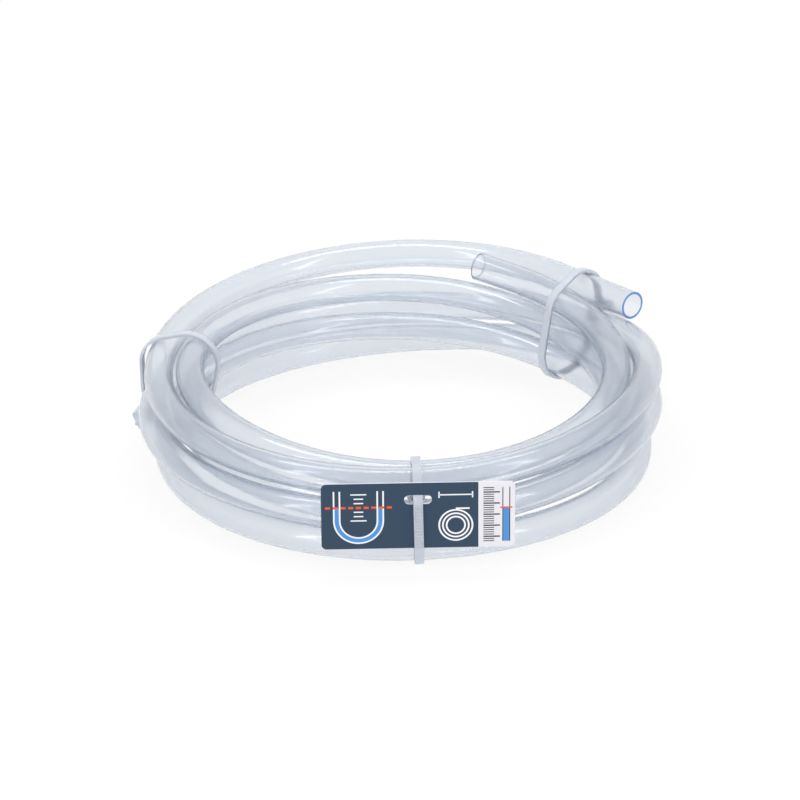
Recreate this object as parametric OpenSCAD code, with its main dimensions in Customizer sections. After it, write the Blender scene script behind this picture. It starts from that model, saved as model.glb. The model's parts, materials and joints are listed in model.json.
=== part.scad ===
// Water level hose: a coil of clear hose held by three cable ties, with a card label on the front tie
// Millimetres, +Z up, standing on Z = 0, with the label facing -Y

/* [Hose] */
// Bore of the hose
bore_d = 9.5; // [8:0.1:11]
// Wall of the hose
wall = 1; // [0.9:0.05:1.3]
// Space that one turn takes beyond its own diameter
turn_gap = 0.45; // [0.4:0.05:0.8]
// Radius of the coil, to the middle of the bottom turn at the front
coil_r = 97; // [90:0.5:104]
// Straight length of the cut end where the winding starts
start_len = 16; // [14:0.5:18]
// Straight length of the cut end that springs out past the right tie
free_len = 44; // [40:0.5:48]

/* [Cable ties] */
// Width of the strap
strap_w = 3.6; // [3.4:0.1:4.8]
// Thickness of the strap
strap_t = 1.2; // [1:0.1:1.4]
// Clearance of a strap round the turns and of the label before them
seat_gap = 0.3; // [0.3:0.05:0.5]
// Gap between a strap and the turn whose weight presses it flat on the floor
rest_gap = 0.1; // [0.1:0.05:0.3]
// Roundness of the side ties, whose straps are too stiff to fold over single turns
strap_ease = 0.35; // [0.2:0.05:0.45]
// Width of the head across the strap
head_w = 6.8; // [6.6:0.1:9]
// Height of the head from the inside of the strap
head_h = 6; // [5.5:0.1:7]
// Length of the head on the side where the strap starts
head_root = 4.6; // [4:0.1:5.5]
// Wall of the head on the side where the strap comes in
head_wall = 1.6; // [1.4:0.1:2]
// Clearance of the strap in the head
head_gap = 0.25; // [0.2:0.05:0.4]
// Length of the cut tail beyond the head
tail_len = 1.5; // [1:0.5:6]

/* [Label] */
// Length of the card
label_w = 73; // [70:0.5:80]
// Height of the card
label_h = 27; // [25:0.5:29]
// Thickness of the card
label_t = 0.5; // [0.4:0.05:0.6]
// Radius of the card's corners
label_r = 2; // [1:0.1:3]
// Length of the slot
slot_w = 10.4; // [10:0.1:12]
// Height of the slot
slot_h = 3.8; // [3.6:0.1:4.6]
// Height of the card above its slot
slot_drop = 5; // [4.5:0.1:6]
// Height of the card's upper edge above the middle of the top turn
label_rise = 4.6; // [3:0.1:5]
// Tilt of the card on its strap
label_tilt = -1; // [-2:0.5:2]

/* [Hidden] */
$fn = 64;
hose_r = bore_d / 2 + wall;
pitch = 2 * hose_r + turn_gap;
// Height of the middle of a turn that lies on a strap
base_z = strap_t + rest_gap + hose_r;
// Places of the turns in the bundle where the route passes the back, right, front and left, in order of
// winding: outward from coil_r and up from base_z, in pitches; the free end starts on the way to the last
back = [[0.4, 3.2], [-0.1, 2.2], [-1.05, 1.15], [0.65, -0.01], [1.15, 0.95], [1.6, 2.82]];
right = [[-1.25, 2.15], [-1.3, 0.95], [-0.6, -0.02], [-0.2, 1.3], [-0.2, 2.35], [-1.35, 2.9]];
front = [[-1.6, 1.7], [-1, 0.6], [0, 0], [0, 1.07], [-0.4, 2.04]];
left = [[-0.85, 2.6], [-0.75, 1.55], [-0.05, 0.01], [0.45, 1.15], [0.2, 2.35]];
last = 21;
// Wound angle, clockwise from the back, where the hose leaves its two straight ends
wind_from = 27;
wind_to = 1837;
// Middle of the coil, which puts the middle of the whole part's box on the Z axis
mid = [5.97, -8.47];
// Directions of the ties seen from the middle of the coil
front_at = -89;
left_at = 165;
right_at = 45;
// Sides of the bundle on which the heads stand, out of sight from the front: 0 is outward, 90 up
front_head = 208;
left_head = -24;
right_head = -20;
// Bevel of a head, depth of the floor under its pawl, room for the pawl, and bend of the strap into the head
bevel = 0.8;
pawl_floor = 1.2;
pawl_room = 2.2;
bend = 0.8;
// Rings of the wound hose, and the sides of each
rings = 176;
sides = 12;
// The wound hose's facets lie just inside the round hose, lap into its straight ends,
// and have a round wall's area
skin = 0.12;
facet_r = hose_r - skin;
wall_area = PI * wall * (bore_d + wall);
facet_bore = sqrt(facet_r * facet_r - wall_area * 2 / sides / sin(360 / sides));
lap = 2;
// Step in degrees of the points on which the gap between turns is measured
gap_step = 4;
// Step in degrees round a tie's loop
loop_step = 6;
eps = 0.01;

// Vectors
function unit(v) = v / norm(v);
function heading(a) = [cos(a), sin(a)];
function sum_of(v) = v * [for (x = v) 1];

// Place in the bundle at quarter turn i
function seat(i) = let (q = i % 4, k = floor(i / 4))
    q == 0 ? back[k] : q == 1 ? right[k] : q == 2 ? front[k] : left[k];
function seat_before(i) = i == 0 ? 2 * seat(0) - seat(1) : seat(i - 1);
function seat_after(i) = i == last ? 2 * seat(last) - seat(last - 1) : seat(i + 1);

// Smooth passage from b to c, a fraction t of the way
function passage(a, b, c, d, t) =
    b + (c - a) * t / 2
    + (a - 2.5 * b + 2 * c - d / 2) * t * t
    + (1.5 * b - a / 2 - 1.5 * c + d / 2) * t * t * t;

// Radius and height of the winding's axis at wound angle s
function wound_place(s) = let (
        i = min(floor(s / 90), last - 1),
        p = passage(seat_before(i), seat(i), seat(i + 1), seat_after(i + 1), s / 90 - i))
    [coil_r + p[0] * pitch, base_z + p[1] * pitch];

// Axis of the winding at wound angle s
function route(s) = let (p = wound_place(s))
    [mid[0] + p[0] * cos(90 - s), mid[1] + p[0] * sin(90 - s), p[1]];
function along(s) = unit(route(s + 0.5) - route(s - 0.5));

// Frame of the hose at wound angle s: away from the coil's middle, across that, and along the hose
function away(s) = let (t = along(s), o = [cos(90 - s), sin(90 - s), 0]) unit(o - (o * t) * t);
function across(s) = cross(along(s), away(s));

// Way of the free end from the winding: outward, round and up
leave = let (t = along(wind_to), a = 90 - wind_to)
    [t[0] * cos(a) + t[1] * sin(a), t[0] * sin(a) - t[1] * cos(a), t[2]];
leave_at = wound_place(wind_to);
// Angle round the coil's middle that the free end takes
free_turn = atan2(free_len * leave[1], leave_at[0] + free_len * leave[0]);

// Radius and height of the axis on the free end, d degrees past the winding
function free_place(d) = let (l = leave_at[0] * sin(d) / (leave[1] * cos(d) - leave[0] * sin(d)))
    [norm([leave_at[0] + l * leave[0], l * leave[1]]), leave_at[1] + l * leave[2]];

// Radius and height of the hose's axis at wound angle s
function place(s) = s > wind_to ? free_place(s - wind_to) : wound_place(s);

// Half the depth by which a facet cuts inside the round route at wound angle s
function sag(s) = wound_place(s)[0] * (1 - cos((wind_to - wind_from) / rings / 2)) / 2;

// One ring of the hose at stop p: its wound angle, its shift along the hose,
// and its share of the sag outwards
function ring(p, r) = let (
        o = away(p[0]),
        b = across(p[0]),
        c = route(p[0]) + p[1] * along(p[0]) + p[2] * sag(p[0]) * o)
    [for (k = [0:sides - 1]) c + r * (cos(k * 360 / sides) * o + sin(k * 360 / sides) * b)];

// Wound angles of the rings, and the first and last ring again inside the straight ends
winding = [for (i = [0:rings]) wind_from + (wind_to - wind_from) * i / rings];
stops = concat(
    [[wind_from, -lap, 0]],
    [for (i = [0:rings]) [winding[i], 0, i > 0 && i < rings ? 1 : 0]],
    [[wind_to, lap, 0]]);
function skin_points(r) = [for (p = stops, v = ring(p, r)) v];
// Two triangles of the four corners a, b, c and d
function pair(a, b, c, d) = [[a, b, c], [a, c, d]];

// Ends of the hose: middle of the cut face and the way out of the bore
end_a = route(wind_to) + free_len * along(wind_to);
end_b = route(wind_from) - start_len * along(wind_from);

// Least gap between turns, measured on points of the axis and of both straight ends
axis_points = concat(
    [for (d = [start_len:-start_len / 3:1]) route(wind_from) - d * along(wind_from)],
    [for (s = [wind_from:gap_step:wind_to]) route(s)],
    [for (d = [0:free_len / 8:free_len]) route(wind_to) + d * along(wind_to)]);
skip = floor(120 / gap_step);
turn_gaps = [for (i = [0:len(axis_points) - 1 - skip], j = [i + skip:len(axis_points) - 1])
    norm(axis_points[i] - axis_points[j]) - 2 * hose_r];
hose_length = start_len + free_len
    + sum_of([for (i = [1:rings]) norm(route(winding[i]) - route(winding[i - 1]))]);
echo(least_gap = min(turn_gaps), hose_length = hose_length);
echo(end_a = end_a, out_a = along(wind_to), end_b = end_b, out_b = -along(wind_from));

// Discs that a tie at direction at goes round: the turns over the width of the strap,
// as [radius, height, disc radius]
half_turn = strap_w / 2 / coil_r * 180 / PI;
function wound(at, k) = 90 - at + 360 * k;
function turns(at) = [for (k = [0:5]) let (s = wound(at, k))
    if (s >= wind_from && s <= wind_to + free_turn) s];
function discs(at) = [for (s = turns(at), e = [-1, 0, 1])
    concat(place(s + e * half_turn), [hose_r + seat_gap])];

// The same discs drawn towards their middle and grown to match, which makes the loop round them rounder
function eased(ds) = let (m = [for (c = [0, 1]) sum_of([for (d = ds) d[c]]) / len(ds)])
    [for (d = ds) let (v = strap_ease * (m - [d[0], d[1]])) [d[0] + v[0], d[1] + v[1], d[2] + norm(v)]];

// Farthest disc in direction a, and the loop's inner corner there with t added
function reach(d, a) = d[0] * cos(a) + d[1] * sin(a) + d[2];
function farthest(ds, a) = let (r = [for (d = ds) reach(d, a)]) ds[search(max(r), r)[0]];
function corner(ds, a, t) = let (d = farthest(ds, a))
    [d[0] + (d[2] + t) * cos(a), max(d[1] + (d[2] + t) * sin(a), strap_t - t)];

// Direction, near the guess, of the side of the loop on which the head stands, and the side's middle
function side(ds, guess) = let (d = farthest(ds, guess + 10) - farthest(ds, guess - 10))
    norm(d) < eps ? guess : atan2(-d[0], d[1]);
function foot(ds, a) = let (
        n = heading(a),
        u = heading(a + 90),
        d = farthest(ds, a + 10) + farthest(ds, a - 10),
        m = (d[0] * u[0] + d[1] * u[1]) / 2)
    max([for (d = ds) reach(d, a)]) * n + m * u;

// Loop from the head all the way round and back to where it bends into the head, t outside the turns
function loop(ds, a, t) = [for (i = [1:360 / loop_step - 2]) corner(ds, a + i * loop_step, t)];
function backward(v) = [for (i = [len(v) - 1:-1:0]) v[i]];

// Strap with its tail turned out through the head
function strap(ds, f, a) = let (
        n = heading(a),
        u = heading(a + 90),
        near = f - head_gap * u,
        far = near - strap_t * u,
        out = (head_h + tail_len) * n)
    concat(
        [f, f + strap_t * n],
        loop(ds, a, strap_t),
        [far + strap_t * n, far + out, near + out, near + bend * n, near - bend * u],
        backward(loop(ds, a, 0)));

// Label: its plane clears every turn behind it, and the front strap slants back through its slot
label_span = asin(label_w / 2 / coil_r) + 2;
label_at = seat_gap + hose_r + max([for (e = [-label_span:2:label_span], s = turns(front_at + e))
    place(s)[0] * cos(e)]);
label_top = base_z + front[4][1] * pitch + label_rise;
label_low = label_top - label_h;
slot_top = label_top - slot_drop;
slot_low = slot_top - slot_h;
slot_mid = (slot_top + slot_low) / 2;
// Front edges of the card that the front strap goes round
label_edges = [for (z = [label_low, slot_low]) [label_at + label_t, z, seat_gap]];
echo(label_at = label_at, label_low = label_low, label_top = label_top, slot_play = (slot_w - strap_w) / 2);

module along_hose(at, o, b, t) {
    multmatrix([
        [o[0], b[0], t[0], at[0]],
        [o[1], b[1], t[1], at[1]],
        [o[2], b[2], t[2], at[2]],
        [0, 0, 0, 1]])
        children();
}

// Straight cut end of length l with a true round bore, which starts in the middle of the wound hose's lap,
// turned so that its seam lies off the facets' edges
module cut_end(l, at, o, b, t) {
    along_hose(at, o, b, t)
        rotate(90 / sides)
            difference() {
                translate([0, 0, lap / 2])
                    cylinder(h = l - lap / 2, r = hose_r);
                cylinder(h = l + eps, d = bore_d);
            }
}

// Wound length of the hose, a tube of facets
module wound_hose() {
    n = len(stops);
    inside = n * sides;
    tube = [for (i = [0:n - 2], k = [0:sides - 1]) let (
            a = i * sides + k,
            b = i * sides + (k + 1) % sides,
            c = b + sides,
            d = a + sides)
        each concat(pair(a, d, c, b), pair(inside + a, inside + b, inside + c, inside + d))];
    rims = [for (k = [0:sides - 1], i = [0, n - 1]) let (
            a = i * sides + k,
            b = i * sides + (k + 1) % sides)
        each i == 0 ? pair(a, b, inside + b, inside + a) : pair(a, inside + a, inside + b, b)];
    polyhedron(
        points = concat(skin_points(facet_r), skin_points(facet_bore)),
        faces = concat(tube, rims));
}

module hose() {
    color("#C9D6E4")
        union() {
            wound_hose();
            cut_end(free_len, route(wind_to), away(wind_to), across(wind_to), along(wind_to));
            cut_end(start_len, route(wind_from), away(wind_from), -across(wind_from), -along(wind_from));
        }
}

// Puts a shape drawn in radius and height at direction at
module tie_plane(at) {
    translate([mid[0], mid[1], 0])
        rotate([90, 0, at])
            children();
}

// Head of a tie, drawn with X away from the bundle and Y along the strap where it starts
module head() {
    slot = strap_t + 2 * head_gap;
    low = strap_t + head_gap;
    far = -slot - head_wall;
    sole = low + pawl_floor;
    difference() {
        linear_extrude(height = head_w, center = true)
            polygon([
                [low, far],
                [head_h - bevel, far],
                [head_h, far + bevel],
                [head_h, head_root - bevel],
                [head_h - bevel, head_root],
                [low, head_root]]);
        translate([0, -slot, -strap_w / 2 - head_gap])
            cube([head_h + eps, slot, strap_w + 2 * head_gap]);
        translate([sole, -eps, -strap_w / 2])
            cube([head_h, pawl_room + eps, strap_w]);
    }
    translate([strap_t / 2, 0, -strap_w / 2])
        cube([low, head_root, strap_w]);
    linear_extrude(height = strap_w - 2 * head_gap, center = true)
        polygon([
            [sole - pawl_floor / 2, pawl_room - 0.2],
            [sole - pawl_floor / 2, pawl_room - 0.9],
            [head_h - 0.6, -head_gap / 2],
            [head_h - 0.2, -head_gap / 2],
            [head_h - 0.4, 0.5]]);
}

// Tie in direction at round the discs ds, with its head on the side near the guessed direction
module tie(at, ds, guess) {
    a = side(ds, guess);
    f = foot(ds, a);
    tie_plane(at) {
        linear_extrude(height = strap_w, center = true)
            polygon(strap(ds, f, a));
        translate([f[0], f[1], 0])
            rotate(a)
                head();
    }
}

module front_tie() {
    color("#F2F3F2")
        tie(front_at, concat(discs(front_at), label_edges), front_head);
}

module left_tie() {
    color("#F2F3F2")
        tie(left_at, eased(discs(left_at)), left_head);
}

module right_tie() {
    color("#F2F3F2")
        tie(right_at, eased(discs(right_at)), right_head);
}

// Outline with round corners, its lower left corner at the origin
module rounded(w, h, r) {
    translate([r, 0])
        square([w - 2 * r, h]);
    translate([0, r])
        square([w, h - 2 * r]);
    for (x = [r, w - r], y = [r, h - r])
        translate([x, y])
            circle(r = r);
}

module label() {
    color("#2B3440")
        translate([mid[0], mid[1], 0])
            rotate([90, 0, front_at + 90])
                translate([0, slot_mid, label_at])
                    rotate(label_tilt)
                        linear_extrude(height = label_t)
                            difference() {
                                translate([-label_w / 2, label_low - slot_mid])
                                    rounded(label_w, label_h, label_r);
                                translate([-slot_w / 2, -slot_h / 2])
                                    rounded(slot_w, slot_h, slot_h / 2 - eps);
                            }
}

hose();
front_tie();
left_tie();
right_tie();
label();
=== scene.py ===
"""Clear water level hose: the coil, its cable ties and its card label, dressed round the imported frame."""

import json
import logging
import math
from dataclasses import dataclass, field
from enum import Enum
from typing import Any

import bmesh
import bpy
from mathutils import Matrix, Vector

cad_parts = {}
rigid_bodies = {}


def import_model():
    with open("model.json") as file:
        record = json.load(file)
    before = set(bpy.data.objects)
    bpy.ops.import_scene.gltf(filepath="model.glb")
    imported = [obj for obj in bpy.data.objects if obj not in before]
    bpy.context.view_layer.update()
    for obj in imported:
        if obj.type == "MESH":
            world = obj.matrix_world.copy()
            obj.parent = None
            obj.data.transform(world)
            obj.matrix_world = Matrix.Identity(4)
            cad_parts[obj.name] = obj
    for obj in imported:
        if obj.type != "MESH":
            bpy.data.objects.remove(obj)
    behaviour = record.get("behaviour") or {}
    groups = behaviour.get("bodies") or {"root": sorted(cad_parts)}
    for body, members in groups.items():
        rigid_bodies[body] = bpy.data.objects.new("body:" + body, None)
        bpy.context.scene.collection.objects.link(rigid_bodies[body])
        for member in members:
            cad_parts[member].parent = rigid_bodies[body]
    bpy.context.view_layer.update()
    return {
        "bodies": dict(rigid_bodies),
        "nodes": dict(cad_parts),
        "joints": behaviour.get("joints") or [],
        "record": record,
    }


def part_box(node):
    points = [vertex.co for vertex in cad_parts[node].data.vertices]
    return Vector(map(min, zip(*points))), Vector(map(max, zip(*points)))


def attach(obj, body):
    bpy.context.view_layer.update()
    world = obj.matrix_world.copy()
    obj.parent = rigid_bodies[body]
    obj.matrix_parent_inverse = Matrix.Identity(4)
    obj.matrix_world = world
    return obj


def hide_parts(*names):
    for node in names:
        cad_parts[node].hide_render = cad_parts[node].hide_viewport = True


MM = 0.001
PHOTO_SIZE = 800
SENSOR_MM = 36.0
QUARTER_DEG = 90.0
FLAT_DEG = 1.0
WHITE = "#FFFFFF"
log = logging.getLogger("water_level_hose")


class Body(Enum):
    """The two moving groups of the frame."""

    COIL = "coil"
    CARD = "card"


class Slot(Enum):
    """The record's material slots."""

    CLEAR_PVC = "clear_pvc"
    NYLON = "nylon"
    CARD = "card"


def linear(code: str) -> tuple[float, float, float, float]:
    """Turns an sRGB colour to the renderer's linear values.

    Args:
        code: The colour as #RRGGBB.

    Returns:
        Linear red, green, blue and an alpha of 1.
    """
    parts = [int(code[i : i + 2], 16) / 255 for i in (1, 3, 5)]
    red, green, blue = [p / 12.92 if p <= 0.04045 else ((p + 0.055) / 1.055) ** 2.4 for p in parts]
    return red, green, blue, 1.0


def add_node(
    tree: bpy.types.NodeTree,
    kind: str,
    settings: dict[str, Any],
    inputs: dict[Any, Any],
) -> bpy.types.Node:
    """Adds one node with its settings, plain inputs and links.

    Args:
        tree: The node tree that takes the node.
        kind: The node's type name.
        settings: Properties of the node.
        inputs: Values by input, or an output socket to link from.

    Returns:
        The new node.
    """
    node = tree.nodes.new(kind)
    for name, value in settings.items():
        setattr(node, name, value)
    for name, value in inputs.items():
        if isinstance(value, bpy.types.NodeSocket):
            tree.links.new(value, node.inputs[name])
        else:
            node.inputs[name].default_value = value
    return node


def new_material(name: str) -> tuple[bpy.types.Material, bpy.types.NodeTree, bpy.types.Node]:
    """Makes an empty node material.

    Args:
        name: The material's name.

    Returns:
        The material, its node tree and its output node.
    """
    material = bpy.data.materials.new(name)
    material.use_nodes = True
    tree = material.node_tree
    tree.nodes.clear()
    return material, tree, tree.nodes.new("ShaderNodeOutputMaterial")


def new_piece(name: str, bm: bmesh.types.BMesh, materials: list[bpy.types.Material]) -> bpy.types.Object:
    """Turns a bmesh into an object at the origin.

    Args:
        name: The piece's name.
        bm: The finished mesh, which is freed.
        materials: The piece's materials in the order of its faces' indices.

    Returns:
        The new object.
    """
    mesh = bpy.data.meshes.new(name)
    bm.to_mesh(mesh)
    bm.free()
    for material in materials:
        mesh.materials.append(material)
    piece = bpy.data.objects.new(name, mesh)
    bpy.context.scene.collection.objects.link(piece)
    return piece


def shade(bm: bmesh.types.BMesh, limit_deg: float) -> None:
    """Shades all faces smooth and keeps edges sharper than a limit crisp.

    Args:
        bm: The mesh to shade.
        limit_deg: Angle between faces above which an edge stays crisp.
    """
    for face in bm.faces:
        face.smooth = True
    for edge in bm.edges:
        edge.smooth = edge.calc_face_angle(math.pi) < math.radians(limit_deg)


def merged_copy(frame: dict[str, Any], node: str, merge_mm: float) -> bmesh.types.BMesh:
    """Copies a node of the frame, with its loose triangles joined into flat faces.

    Args:
        frame: The loaded frame.
        node: The node's name.
        merge_mm: Distance within which points become one.

    Returns:
        The copy.
    """
    bm = bmesh.new()
    bm.from_mesh(frame["nodes"][node].data)
    bmesh.ops.remove_doubles(bm, verts=bm.verts, dist=merge_mm * MM)
    bmesh.ops.dissolve_limit(bm, angle_limit=math.radians(FLAT_DEG), verts=bm.verts, edges=bm.edges)
    return bm


def only(kind: type, geom: list[Any]) -> list[Any]:
    """Picks one kind of element from what an operator gives back.

    Args:
        kind: The type of element.
        geom: Vertices, edges and faces together.

    Returns:
        The elements of that kind, in their order.
    """
    return [part for part in geom if isinstance(part, kind)]


def far_edges(grown: list[Any]) -> list[bmesh.types.BMEdge]:
    """Finds the edges at the far side of an extrusion.

    Args:
        grown: What the extrusion gives back.

    Returns:
        The edges whose two ends are both new.
    """
    ends = set(only(bmesh.types.BMVert, grown))
    return [edge for edge in only(bmesh.types.BMEdge, grown) if all(v in ends for v in edge.verts)]


# Soft PVC shows long lights along each turn on its glossy skin, a faint haze, and a wall that is clear
# straight through and blue where one looks along it.
@dataclass(frozen=True)
class ClearPvc:
    """Clear plasticised PVC, extruded."""

    tint: str = "#FAFBFC"
    depth_tint: str = "#76ACE2"
    depth_density: float = 70.0
    ior: float = 1.53
    roughness: float = 0.12
    through: float = 0.967
    # The die's lines are a few tenths of a millimetre apart, and drawn coarser here so that they show.
    streak_mm: float = 1.6
    streak_draw: float = 0.04
    streak_bump: float = 0.3
    streak_deep_mm: float = 0.1

    def material(self) -> bpy.types.Material:
        """Builds the material; streaks of the die run along the hose in its own straight space."""
        material, tree, out = new_material("clear_extruded_pvc")
        lay = add_node(tree, "ShaderNodeAttribute", {"attribute_name": "lay"}, {})
        stretch = add_node(
            tree,
            "ShaderNodeMapping",
            {},
            {"Vector": lay.outputs["Vector"], "Scale": (1.0, 1.0, self.streak_draw)},
        )
        streaks = add_node(
            tree,
            "ShaderNodeTexNoise",
            {},
            {"Vector": stretch.outputs[0], "Scale": 1.0 / (self.streak_mm * MM), "Detail": 2.0},
        )
        bump = add_node(
            tree,
            "ShaderNodeBump",
            {},
            {
                "Strength": self.streak_bump,
                "Distance": self.streak_deep_mm * MM,
                "Height": streaks.outputs[0],
            },
        )
        skin = add_node(
            tree,
            "ShaderNodeBsdfPrincipled",
            {},
            {
                "Base Color": linear(self.tint),
                "Roughness": self.roughness,
                "IOR": self.ior,
                "Transmission Weight": self.through,
                "Normal": bump.outputs[0],
            },
        )
        depth = add_node(
            tree,
            "ShaderNodeVolumeAbsorption",
            {},
            {"Color": linear(self.depth_tint), "Density": self.depth_density},
        )
        tree.links.new(skin.outputs[0], out.inputs["Surface"])
        tree.links.new(depth.outputs[0], out.inputs["Volume"])
        return material


# A cut across clear PVC is matt. Its deep blue is painted light: the glow of light that gathers in the wall,
# painted into the rim's colour.
@dataclass(frozen=True)
class CutPvc:
    """The sawn rim of clear PVC."""

    # Both blues are painted glow of the light carried along the wall. The marks of the cut mix them at
    # random.
    colour: str = "#3F74C4"
    pale: str = "#7FA6E0"
    roughness: float = 0.5
    # Marks of a cut are a tenth or two of a millimetre apart, and drawn coarser here so that they show.
    saw_mm: float = 0.5
    saw_bump: float = 0.2
    saw_deep_mm: float = 0.05

    def material(self) -> bpy.types.Material:
        """Builds the material, with the fine marks of the cut."""
        material, tree, out = new_material("cut_pvc_rim")
        place = add_node(tree, "ShaderNodeTexCoord", {}, {})
        marks = add_node(
            tree,
            "ShaderNodeTexNoise",
            {},
            {"Vector": place.outputs["Object"], "Scale": 1.0 / (self.saw_mm * MM), "Detail": 2.0},
        )
        tone = add_node(
            tree,
            "ShaderNodeMix",
            {"data_type": "RGBA"},
            {"Factor": marks.outputs[0], "A": linear(self.colour), "B": linear(self.pale)},
        )
        bump = add_node(
            tree,
            "ShaderNodeBump",
            {},
            {"Strength": self.saw_bump, "Distance": self.saw_deep_mm * MM, "Height": marks.outputs[0]},
        )
        skin = add_node(
            tree,
            "ShaderNodeBsdfPrincipled",
            {},
            {
                "Base Color": tone.outputs["Result"],
                "Roughness": self.roughness,
                "Normal": bump.outputs[0],
            },
        )
        tree.links.new(skin.outputs[0], out.inputs["Surface"])
        return material


# Moulded nylon 6.6 without pigment is milky and half translucent, with a satin skin and faint clouds of flow.
@dataclass(frozen=True)
class NaturalNylon:
    """Natural nylon 6.6, moulded."""

    colour: str = "#EFF4FC"
    shade: str = "#E4EBF6"
    roughness: float = 0.42
    ior: float = 1.45
    through: float = 0.5
    cloud_mm: float = 6.0
    cloud_bump: float = 0.1
    cloud_deep_mm: float = 0.05

    def material(self) -> bpy.types.Material:
        """Builds the material, with faint clouding from the mould's flow."""
        material, tree, out = new_material("natural_nylon")
        place = add_node(tree, "ShaderNodeTexCoord", {}, {})
        cloud = add_node(
            tree,
            "ShaderNodeTexNoise",
            {},
            {"Vector": place.outputs["Object"], "Scale": 1.0 / (self.cloud_mm * MM), "Detail": 3.0},
        )
        tone = add_node(
            tree,
            "ShaderNodeMix",
            {"data_type": "RGBA"},
            {"Factor": cloud.outputs[0], "A": linear(self.colour), "B": linear(self.shade)},
        )
        bump = add_node(
            tree,
            "ShaderNodeBump",
            {},
            {"Strength": self.cloud_bump, "Distance": self.cloud_deep_mm * MM, "Height": cloud.outputs[0]},
        )
        skin = add_node(
            tree,
            "ShaderNodeBsdfPrincipled",
            {},
            {
                "Base Color": tone.outputs["Result"],
                "Roughness": self.roughness,
                "IOR": self.ior,
                "Transmission Weight": self.through,
                "Normal": bump.outputs[0],
            },
        )
        tree.links.new(skin.outputs[0], out.inputs["Surface"])
        return material


# Coated card gives flat ink a soft satin shine, and its fibres mottle the ink a little.
@dataclass(frozen=True)
class PrintedCard:
    """Coated card with a printed face under a thin varnish."""

    name: str
    colour: str
    roughness: float = 0.55
    varnish: float = 0.3
    mottle: float = 0.06
    # Card fibres are a few hundredths of a millimetre thick. Their mottle is drawn coarser so that it shows.
    fibre_mm: float = 0.8
    fibre_bump: float = 0.08
    fibre_deep_mm: float = 0.05

    def material(self) -> bpy.types.Material:
        """Builds the material, with a faint mottle of the card's fibres under the ink."""
        material, tree, out = new_material(self.name)
        place = add_node(tree, "ShaderNodeTexCoord", {}, {})
        fibre = add_node(
            tree,
            "ShaderNodeTexNoise",
            {},
            {"Vector": place.outputs["Object"], "Scale": 1.0 / (self.fibre_mm * MM), "Detail": 4.0},
        )
        swing = add_node(
            tree,
            "ShaderNodeMapRange",
            {},
            {"Value": fibre.outputs[0], "To Min": 1.0 - self.mottle, "To Max": 1.0 + self.mottle},
        )
        tone = add_node(
            tree,
            "ShaderNodeHueSaturation",
            {},
            {"Color": linear(self.colour), "Value": swing.outputs[0]},
        )
        bump = add_node(
            tree,
            "ShaderNodeBump",
            {},
            {"Strength": self.fibre_bump, "Distance": self.fibre_deep_mm * MM, "Height": fibre.outputs[0]},
        )
        skin = add_node(
            tree,
            "ShaderNodeBsdfPrincipled",
            {},
            {
                "Base Color": tone.outputs[0],
                "Roughness": self.roughness,
                "Specular IOR Level": self.varnish,
                "Normal": bump.outputs[0],
            },
        )
        tree.links.new(skin.outputs[0], out.inputs["Surface"])
        return material


Seat = tuple[float, float]


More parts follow.
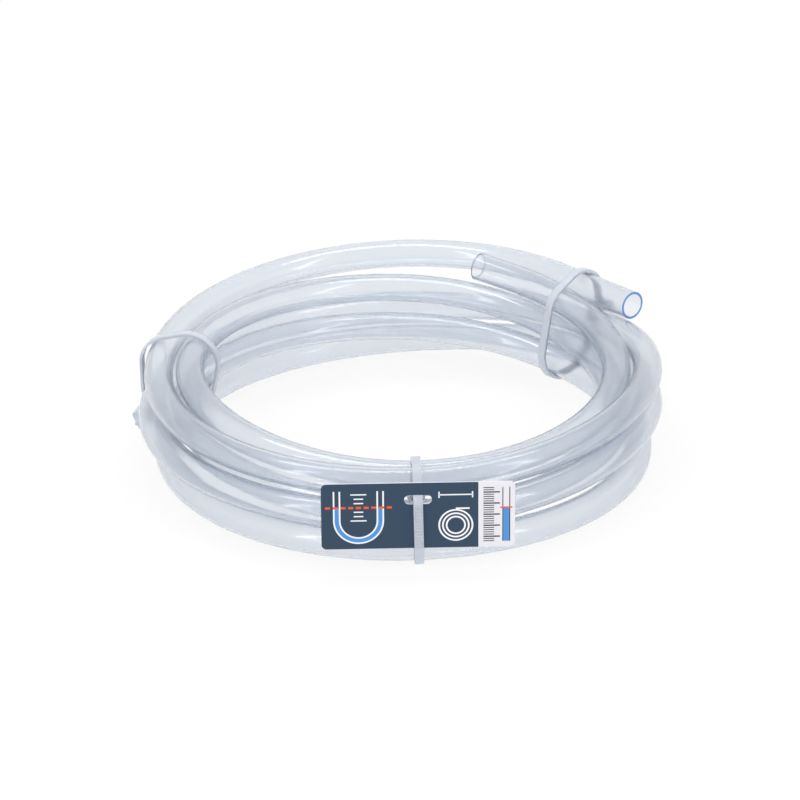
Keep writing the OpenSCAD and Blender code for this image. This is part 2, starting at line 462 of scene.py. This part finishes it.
@dataclass
class WoundHose:
    """The hose, wound clockwise from its inner end to its upper end.

    Lengths are in millimetres and angles in degrees. A seat is a place in the bundle, out from the coil's
    radius and up from its bed, in counts of the hose's pitch. Each list has one seat per turn.
    """

    bore_d: float = 9.5
    wall: float = 1.0
    turn_gap: float = 0.45
    coil_r: float = 97.0
    start_len: float = 16.0
    free_len: float = 44.0
    bed: float = 1.3
    wind_from: float = 27.0
    wind_to: float = 1837.0
    step_deg: float = 3.0
    probe_deg: float = 0.5
    step_mm: float = 5.0
    sides: int = 40
    crisp_deg: float = 50.0
    rim_cosine: float = 0.9
    mid: tuple[float, float] = (5.97, -8.47)
    back: list[Seat] = field(
        default_factory=lambda: [
            (0.4, 3.2), (-0.1, 2.2), (-1.05, 1.15), (0.65, -0.01), (1.15, 0.95), (1.6, 2.82),
        ]
    )
    right: list[Seat] = field(
        default_factory=lambda: [
            (-1.25, 2.15), (-1.3, 0.95), (-0.6, -0.02), (-0.2, 1.3), (-0.2, 2.35), (-1.35, 2.9),
        ]
    )
    front: list[Seat] = field(
        default_factory=lambda: [(-1.6, 1.7), (-1.0, 0.6), (0.0, 0.0), (0.0, 1.07), (-0.4, 2.04)]
    )
    left: list[Seat] = field(
        default_factory=lambda: [(-0.85, 2.6), (-0.75, 1.55), (-0.05, 0.01), (0.45, 1.15), (0.2, 2.35)]
    )

    @property
    def radius(self) -> float:
        """Outer radius of the hose."""
        return self.bore_d / 2 + self.wall

    @property
    def pitch(self) -> float:
        """Space of one turn in the bundle."""
        return 2 * self.radius + self.turn_gap

    def seats(self) -> list[Vector]:
        """Places in the bundle at each quarter turn, with one more beyond either end."""
        quarters = [self.back, self.right, self.front, self.left]
        rows = [Vector(quarters[i % 4][i // 4]) for i in range(sum(map(len, quarters)))]
        return [2 * rows[0] - rows[1], *rows, 2 * rows[-1] - rows[-2]]

    def place(self, wound: float) -> tuple[float, float]:
        """Radius and height of the hose's axis, on a smooth curve through the seats.

        Args:
            wound: Angle wound since the back of the first turn, in degrees.

        Returns:
            The radius from the coil's middle and the height.
        """
        rows = self.seats()
        i = min(int(wound // QUARTER_DEG), len(rows) - 4)
        t = wound / QUARTER_DEG - i
        a, b, c, d = rows[i : i + 4]
        p = b + (c - a) * t / 2
        p += (a - 2.5 * b + 2 * c - d / 2) * t**2 + (1.5 * b - a / 2 - 1.5 * c + d / 2) * t**3
        return self.coil_r + p.x * self.pitch, self.bed + self.radius + p.y * self.pitch

    def route(self, wound: float) -> Vector:
        """Point of the hose's axis at a wound angle, in metres."""
        r, z = self.place(wound)
        a = math.radians(QUARTER_DEG - wound)
        return Vector((self.mid[0] + r * math.cos(a), self.mid[1] + r * math.sin(a), z)) * MM

    def along(self, wound: float) -> Vector:
        """Direction of the hose at a wound angle."""
        return (self.route(wound + self.probe_deg) - self.route(wound - self.probe_deg)).normalized()

    def path(self) -> list[Vector]:
        """Points of the axis from the upper cut end back to the inner one, in metres."""
        count = round((self.wind_to - self.wind_from) / self.step_deg)
        turns = [self.wind_to + (self.wind_from - self.wind_to) * i / count for i in range(count + 1)]
        free = self.straight(self.wind_to, self.free_len)
        start = self.straight(self.wind_from, -self.start_len)
        return [*reversed(free), *[self.route(s) for s in turns], *start]

    def straight(self, wound: float, length: float) -> list[Vector]:
        """Points of a straight end, from the winding outwards.

        Args:
            wound: Wound angle where the end leaves the winding.
            length: Its length along the winding's direction, negative at the start.

        Returns:
            Points in metres, without the one on the winding.
        """
        steps = math.ceil(abs(length) / self.step_mm)
        way = self.along(wound) * length * MM
        return [self.route(wound) + way * (i + 1) / steps for i in range(steps)]

    def frames(self, path: list[Vector]) -> list[Matrix]:
        """Frames that carry a ring along the path, each with one side away from the coil's middle.

        Args:
            path: Points of the axis.

        Returns:
            One matrix per point, with its Z axis along the hose.
        """
        frames = []
        middle = Vector((self.mid[0] * MM, self.mid[1] * MM, 0))
        for i, point in enumerate(path):
            ahead = (path[min(i + 1, len(path) - 1)] - path[max(i - 1, 0)]).normalized()
            out = (point - middle) * Vector((1, 1, 0))
            side = (out - out.dot(ahead) * ahead).normalized()
            turn = Matrix((side, ahead.cross(side), ahead)).transposed().to_4x4()
            frames.append(Matrix.Translation(point) @ turn)
        return frames

    def tube(self, frames: list[Matrix]) -> bmesh.types.BMesh:
        """Sweeps a ring along the hose and gives it its wall inwards.

        Args:
            frames: Frames along the hose.

        Returns:
            The tube, with its two rims as the second material.
        """
        bm = bmesh.new()
        lay = bm.verts.layers.float_vector.new("lay")
        ring = bmesh.ops.create_circle(
            bm,
            segments=self.sides,
            radius=self.radius * MM,
            matrix=frames[0],
        )["verts"]
        edges = list(dict.fromkeys(e for v in ring for e in v.link_edges))
        self.mark(ring, frames[0], 0.0, lay)
        run = 0.0
        for before, after in zip(frames, frames[1:]):
            grown = bmesh.ops.extrude_edge_only(bm, edges=edges)["geom"]
            ring = only(bmesh.types.BMVert, grown)
            edges = far_edges(grown)
            bmesh.ops.transform(bm, matrix=after @ before.inverted(), verts=ring)
            run += (after.translation - before.translation).length
            self.mark(ring, after, run, lay)
        bmesh.ops.recalc_face_normals(bm, faces=bm.faces)
        bmesh.ops.solidify(bm, geom=list(bm.faces), thickness=self.wall * MM)
        shade(bm, self.crisp_deg)
        for face in bm.faces:
            face.material_index = int(any(not e.smooth for e in face.edges) and self.is_rim(face, frames))
        return bm

    def is_rim(self, face: bmesh.types.BMFace, frames: list[Matrix]) -> bool:
        """Tells whether a face lies on a cut end, square to the hose.

        Args:
            face: A face of the finished tube.
            frames: Frames along the hose.

        Returns:
            True for a face of either rim.
        """
        ends = (frames[0].to_3x3().col[2], frames[-1].to_3x3().col[2])
        return any(abs(face.normal.dot(end)) > self.rim_cosine for end in ends)

    @staticmethod
    def mark(
        ring: list[bmesh.types.BMVert],
        frame: Matrix,
        run: float,
        lay: bmesh.types.BMLayerItem,
    ) -> None:
        """Writes where each point of a ring would lie if the hose were straight.

        Args:
            ring: Points of one ring.
            frame: The ring's frame.
            run: Length of hose before the ring.
            lay: The layer that keeps the places.
        """
        flat = frame.inverted()
        for vert in ring:
            place = flat @ vert.co
            vert[lay] = Vector((place.x, place.y, run))

    def build(self, skin: ClearPvc, cut: CutPvc) -> bpy.types.Object:
        """Makes the hose as a tube with a real wall and square cut ends.

        Args:
            skin: The hose's material.
            cut: The material of its two rims.

        Returns:
            The hose, riding on the coil.
        """
        path = self.path()
        hose = new_piece("hose_tube", self.tube(self.frames(path)), [skin.material(), cut.material()])
        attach(hose, Body.COIL.value)
        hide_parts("hose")
        return hose


@dataclass
class CableTie:
    """A closed cable tie: the frame's strap and head with moulded edges and a ladder of teeth."""

    node: str
    edge_mm: float = 0.15
    merge_mm: float = 0.2
    sliver_mm: float = 0.01
    sharp_deg: float = 35.0
    crisp_deg: float = 40.0
    rung_mm: float = 1.3
    rail_mm: float = 0.42
    tooth_mm: float = 0.28
    ladder_min_mm: float = 12.0
    outward_cosine: float = 0.995

    def build(self, frame: dict[str, Any], material: bpy.types.Material) -> bpy.types.Object:
        """Rounds the edges of a merged copy of the frame's tie.

        Args:
            frame: The loaded frame.
            material: The tie's material.

        Returns:
            The tie, riding on the coil.
        """
        bm = merged_copy(frame, self.node, self.merge_mm)
        sharp = [e for e in bm.edges if e.calc_face_angle(0.0) > math.radians(self.sharp_deg)]
        bmesh.ops.bevel(
            bm,
            geom=sharp,
            offset=self.edge_mm * MM,
            offset_type="OFFSET",
            affect="EDGES",
            segments=2,
            profile=0.5,
            material=-1,
            clamp_overlap=False,
        )
        self.ladder(bm)
        bmesh.ops.dissolve_degenerate(bm, dist=self.sliver_mm * MM, edges=bm.edges)
        shade(bm, self.crisp_deg)
        tie = new_piece(self.node + "_nylon", bm, [material])
        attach(tie, Body.COIL.value)
        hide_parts(self.node)
        log.info("%s: %d faces", tie.name, len(tie.data.polygons))
        return tie

    def ladder(self, bm: bmesh.types.BMesh) -> None:
        """Sinks the pockets between the teeth into each long upright run of the strap's outer face.

        Args:
            bm: The tie's mesh, which is changed.
        """
        away = sum((f.calc_center_median() for f in bm.faces), Vector()) / len(bm.faces)
        away.z = 0
        away.normalize()
        outer = [f for f in bm.faces if f.normal.dot(away) > self.outward_cosine]
        for run in [f for f in outer if self.rise(f) > self.ladder_min_mm * MM]:
            low = min(v.co.z for v in run.verts)
            count = int(self.rise(run) / (self.rung_mm * MM))
            pockets = [run]
            for i in range(1, count):
                edges = dict.fromkeys(e for f in pockets for e in f.edges)
                verts = dict.fromkeys(v for f in pockets for v in f.verts)
                cut = bmesh.ops.bisect_plane(
                    bm,
                    geom=[*pockets, *edges, *verts],
                    plane_co=Vector((0, 0, low + i * self.rung_mm * MM)),
                    plane_no=Vector((0, 0, 1)),
                )["geom"]
                pockets = only(bmesh.types.BMFace, cut)
            bmesh.ops.inset_individual(
                bm,
                faces=pockets,
                thickness=self.rail_mm * MM,
                depth=-self.tooth_mm * MM,
            )

    @staticmethod
    def rise(face: bmesh.types.BMFace) -> float:
        """Height from a face's lowest to its highest corner."""
        heights = [v.co.z for v in face.verts]
        return max(heights) - min(heights)


@dataclass
class InkFilm:
    """One colour of the label's print, drawn flat on the card's face in millimetres."""

    name: str
    colour: str
    lift: float
    sides: int = 48
    bm: bmesh.types.BMesh = field(default_factory=bmesh.new)

    def bar(self, x: float, y: float, width: float, height: float) -> None:
        """Draws an upright rectangle about its middle.

        Args:
            x: Middle along the card.
            y: Middle up the card.
            width: Size along the card.
            height: Size up the card.
        """
        place = Matrix.Translation((x, y, 0)) @ Matrix.Diagonal((width, height, 1, 1))
        bmesh.ops.create_grid(self.bm, x_segments=1, y_segments=1, size=0.5, matrix=place)

    def ring(self, x: float, y: float, radius: float, stroke: float) -> None:
        """Draws a circle's line, inside its radius.

        Args:
            x: Middle along the card.
            y: Middle up the card.
            radius: Outer radius.
            stroke: Width of the line.
        """
        rim = bmesh.ops.create_circle(
            self.bm,
            cap_ends=True,
            segments=self.sides,
            radius=radius,
            matrix=Matrix.Translation((x, y, 0)),
        )["verts"]
        disc = rim[0].link_faces[0]
        bmesh.ops.inset_individual(self.bm, faces=[disc], thickness=stroke, use_even_offset=True)
        bmesh.ops.delete(self.bm, geom=[disc], context="FACES_ONLY")

    def u_bend(self, x: float, y: float, radius: float, stroke: float, rise: float) -> None:
        """Draws a line down, half round and up again.

        Args:
            x: Middle of the half round along the card.
            y: Middle of the half round up the card.
            radius: Radius to the middle of the line.
            stroke: Width of the line.
            rise: Length of the straight lines above the half round.
        """
        ends = [self.bm.verts.new((x - radius + s * stroke / 2, y + rise, 0)) for s in (-1, 1)]
        down = bmesh.ops.extrude_edge_only(self.bm, edges=[self.bm.edges.new(ends)])["geom"]
        bmesh.ops.translate(self.bm, vec=(0, -rise, 0), verts=only(bmesh.types.BMVert, down))
        foot = far_edges(down)
        turned = bmesh.ops.spin(
            self.bm,
            geom=[*foot, *foot[0].verts],
            cent=(x, y, 0),
            axis=(0, 0, 1),
            angle=math.pi,
            steps=self.sides // 2,
        )["geom_last"]
        up = bmesh.ops.extrude_edge_only(self.bm, edges=only(bmesh.types.BMEdge, turned))["geom"]
        bmesh.ops.translate(self.bm, vec=(0, rise, 0), verts=only(bmesh.types.BMVert, up))

    def lay(self, face: Matrix) -> bpy.types.Object:
        """Gives the drawing its thickness and lays it on the card.

        Args:
            face: Frame of the card's printed face, in metres.

        Returns:
            The print, riding with the card.
        """
        drawn = list(self.bm.faces)
        raised = bmesh.ops.extrude_face_region(self.bm, geom=drawn, use_keep_orig=True)["geom"]
        bmesh.ops.translate(self.bm, vec=(0, 0, self.lift), verts=only(bmesh.types.BMVert, raised))
        bmesh.ops.recalc_face_normals(self.bm, faces=self.bm.faces)
        bmesh.ops.transform(self.bm, matrix=face @ Matrix.Scale(MM, 4), verts=self.bm.verts)
        film = new_piece(self.name, self.bm, [PrintedCard(self.name + "_ink", self.colour).material()])
        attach(film, Body.CARD.value)
        log.info("%s: %d faces", film.name, len(film.data.polygons))
        return film


@dataclass
class CardLabel:
    """The slotted card on the front tie, printed dark with a pale panel. Lengths are in millimetres."""

    dark: str = "#30445A"
    pale: str = "#E6E5EB"
    panel_at: float = 22.7
    thickness: float = 0.5
    level_at: float = 3.6
    merge_mm: float = 0.001
    crisp_deg: float = 30.0
    front_cosine: float = 0.5

    def face(self, frame: dict[str, Any]) -> Matrix:
        """Finds the printed face from the way that the card slides.

        Args:
            frame: The loaded frame.

        Returns:
            A frame at the middle of the face: X along the card, Y up it and Z out of it.
        """
        along = Vector(frame["record"]["behaviour"]["joints"][0]["axis"]).normalized()
        out = Vector((along.y, -along.x, 0)).normalized()
        turn = Matrix((along, out.cross(along), out)).transposed().to_4x4()
        low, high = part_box("label")
        proud = Matrix.Translation((0, 0, self.thickness / 2 * MM))
        return Matrix.Translation((low + high) / 2) @ turn @ proud

    def bent_tube(self, white: InkFilm, water: InkFilm, level: InkFilm) -> None:
        """Draws a bent tube with water to one level, a dashed line at it, and marks above and below.

        Args:
            white: Ink of the tube's walls and the marks.
            water: Ink of the water.
            level: Ink of the dashed line.
        """
        x, y, bend, bore = -22.4, -1.8, 8.2, 2.2
        wall, arm = 0.6, 12.2
        for side in (-1, 1):
            white.u_bend(x, y, bend + side * bore / 2, wall, arm)
        water.u_bend(x, y, bend, bore, self.level_at - y)
        dash, dash_step, dash_line = 1.9, 2.9, 0.9
        for i in range(-4, 5):
            level.bar(x + i * dash_step, self.level_at, dash, dash_line)
        mark, last_mark, mark_step, mark_line = 3.6, 6.0, 1.8, 0.5
        for i in (-3, -2, -1, 1, 2, 3):
            white.bar(x, self.level_at + i * mark_step, last_mark if abs(i) == 3 else mark, mark_line)

    @staticmethod
    def coil_sign(white: InkFilm) -> None:
        """Draws a coil with its loose end, and a length line above it.

        Args:
            white: Ink of the sign.
        """
        x, y, line = 14.2, -4.2, 0.65
        for radius in (6.6, 5.2, 3.8):
            white.ring(x, y, radius, line)
        tail, tail_up = 5.2, 6.9
        white.bar(x + tail / 2, y + tail_up, tail, line)
        span, span_y, span_line, stop = 12.6, 8.4, 0.5, 2.6
        white.bar(x, span_y, span, span_line)
        for side in (-1, 1):
            white.bar(x + side * span / 2, span_y, span_line, stop)

    @staticmethod
    def sight_tube(black: InkFilm, water: InkFilm, level: InkFilm) -> None:
        """Draws a scale on the pale panel, with a tube of water beside it.

        Args:
            black: Ink of the scale and the tube's walls.
            water: Ink of the water.
            level: Ink of the line at its level.
        """
        scale_x, scale_step = 24.6, 0.92
        for i in range(-12, 13):
            length, line = (6.2, 0.52) if i % 5 == 0 else (4.0, 0.34)
            black.bar(scale_x + length / 2, i * scale_step, length, line)
        x, wall_out, wall_line, tall = 33.2, 1.3, 0.34, 22.4
        for side in (-1, 1):
            black.bar(x + side * wall_out, 0, wall_line, tall)
        bore, fill, level_y, level_long, level_line = 2.2, 14.0, 2.8, 4.6, 0.6
        water.bar(x, level_y - fill / 2, bore, fill)
        level.bar(x, level_y, level_long, level_line)

    def pictures(self, face: Matrix) -> None:
        """Prints plain signs: a level in a bent tube, a coil with its length, and a graduated sight tube.

        Args:
            face: Frame of the printed face.
        """
        white = InkFilm("label_white_print", "#F3F4F7", lift=0.03)
        water = InkFilm("label_blue_print", "#4F93D8", lift=0.02)
        level = InkFilm("label_orange_print", "#F05A28", lift=0.04)
        black = InkFilm("label_black_print", "#23262B", lift=0.03)
        self.bent_tube(white, water, level)
        self.coil_sign(white)
        self.sight_tube(black, water, level)
        for film in (white, water, level, black):
            film.lay(face)

    def build(self, frame: dict[str, Any]) -> bpy.types.Object:
        """Splits a merged copy of the frame's card into its printed fields and its bare board.

        Args:
            frame: The loaded frame.

        Returns:
            The card, riding on its own body.
        """
        bm = merged_copy(frame, "label", self.merge_mm)
        face = self.face(frame)
        along, out = face.col[0].to_3d(), face.col[2].to_3d()
        cut = face @ Vector((self.panel_at * MM, 0, 0))
        bmesh.ops.bisect_plane(bm, geom=[*bm.verts, *bm.edges, *bm.faces], plane_co=cut, plane_no=along)
        for part in bm.faces:
            in_front = part.normal.dot(out) > self.front_cosine
            printed = in_front and (part.calc_center_median() - cut).dot(along) < 0
            part.material_index = 0 if printed else 1
        shade(bm, self.crisp_deg)
        dark = PrintedCard("card_dark_ink", self.dark).material()
        board = PrintedCard("card_pale_board", self.pale).material()
        card = new_piece("label_card", bm, [dark, board])
        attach(card, Body.CARD.value)
        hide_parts("label")
        log.info("%s: dark field, pale panel and bare back", card.name)
        self.pictures(face)
        return card


@dataclass(frozen=True)
class SoftLamp:
    """A rectangular studio lamp. Lengths are in metres and power is in watts."""

    name: str
    place: tuple[float, float, float]
    aim: tuple[float, float, float]
    size: tuple[float, float]
    power: float

    def hang(self) -> None:
        """Adds the lamp to the scene, turned to its aim."""
        data = bpy.data.lights.new(self.name, "AREA")
        data.shape = "RECTANGLE"
        data.size, data.size_y = self.size
        data.energy = self.power
        lamp = bpy.data.objects.new(self.name, data)
        lamp.location = self.place
        lamp.rotation_euler = (Vector(self.aim) - Vector(self.place)).to_track_quat("-Z", "Y").to_euler()
        bpy.context.scene.collection.objects.link(lamp)


@dataclass
class Studio:
    """White table, soft lamps and the camera. Lengths are in millimetres and angles in degrees."""

    target: tuple[float, float, float] = (2.03, 2.31, 19.8)
    distance: float = 1735.3
    elevation: float = 23.78
    roll: float = 1.54
    focal_px: float = 4333.9
    table: str = "#F7F7F7"
    table_half: float = 3000.0
    table_drop: float = 0.1
    table_glow: float = 0.9
    clear_bounces: int = 48
    glossy_bounces: int = 8

    def camera(self) -> None:
        """Sets the camera at the photograph's viewing angle."""
        data = bpy.data.cameras.new("camera")
        data.sensor_width = SENSOR_MM
        data.lens = self.focal_px * SENSOR_MM / PHOTO_SIZE
        eye = bpy.data.objects.new("camera", data)
        tilt = Matrix.Rotation(math.radians(QUARTER_DEG - self.elevation), 4, "X")
        turn = tilt @ Matrix.Rotation(math.radians(-self.roll), 4, "Z")
        back = tilt @ Vector((0, 0, 1))
        eye.matrix_world = Matrix.Translation((Vector(self.target) + back * self.distance) * MM) @ turn
        bpy.context.scene.collection.objects.link(eye)
        bpy.context.scene.camera = eye

    def sweep(self) -> None:
        """Lays a lit white table, which keeps a soft share of the object's shadow."""
        bm = bmesh.new()
        bmesh.ops.create_grid(bm, x_segments=1, y_segments=1, size=self.table_half * MM)
        material, tree, out = new_material("white_sweep")
        skin = add_node(tree, "ShaderNodeBsdfDiffuse", {}, {"Color": linear(self.table)})
        glow = add_node(tree, "ShaderNodeEmission", {}, {"Color": linear(WHITE), "Strength": 1.0})
        table = add_node(
            tree,
            "ShaderNodeMixShader",
            {},
            {0: self.table_glow, 1: skin.outputs[0], 2: glow.outputs[0]},
        )
        tree.links.new(table.outputs[0], out.inputs["Surface"])
        floor = new_piece("floor", bm, [material])
        floor.location.z = -self.table_drop * MM

    def world(self) -> None:
        """Surrounds the set with a plain white room."""
        world = bpy.data.worlds.new("studio")
        bpy.context.scene.world = world
        world.use_nodes = True
        tree = world.node_tree
        tree.nodes.clear()
        out = tree.nodes.new("ShaderNodeOutputWorld")
        room = add_node(tree, "ShaderNodeBackground", {}, {"Color": linear(WHITE), "Strength": 1.0})
        tree.links.new(room.outputs[0], out.inputs["Surface"])

    def lamps(self) -> None:
        """Hangs a narrow soft box overhead and a strip on either near side, for streaks along the turns."""
        table, coil = (0.0, 0.0, 0.0), (0.0, 0.0, 0.02)
        SoftLamp("soft_box", (-0.05, 0.25, 1.1), table, (0.9, 0.13), 3.0).hang()
        SoftLamp("left_strip", (-0.8, -0.7, 0.7), coil, (0.1, 0.9), 1.3).hang()
        SoftLamp("right_strip", (0.8, -0.6, 0.8), coil, (0.1, 0.9), 1.3).hang()

    def light_paths(self) -> None:
        """Lets rays pass the many clear walls of the coil, and shows colours as they are written."""
        cycles = bpy.context.scene.cycles
        cycles.max_bounces = self.clear_bounces
        cycles.transmission_bounces = self.clear_bounces
        cycles.glossy_bounces = self.glossy_bounces
        bpy.context.scene.view_settings.view_transform = "Standard"

    def build(self) -> None:
        """Sets up the whole studio."""
        self.camera()
        self.sweep()
        self.world()
        self.lamps()
        self.light_paths()


def main() -> None:
    """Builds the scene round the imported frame."""
    logging.basicConfig(level=logging.INFO, format="%(name)s %(message)s")
    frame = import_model()
    Studio().build()
    WoundHose().build(ClearPvc(), CutPvc())
    nylon = NaturalNylon().material()
    for node in ("front_tie", "left_tie", "right_tie"):
        CableTie(node).build(frame, nylon)
    CardLabel().build(frame)


if __name__ == "__main__":
    main()
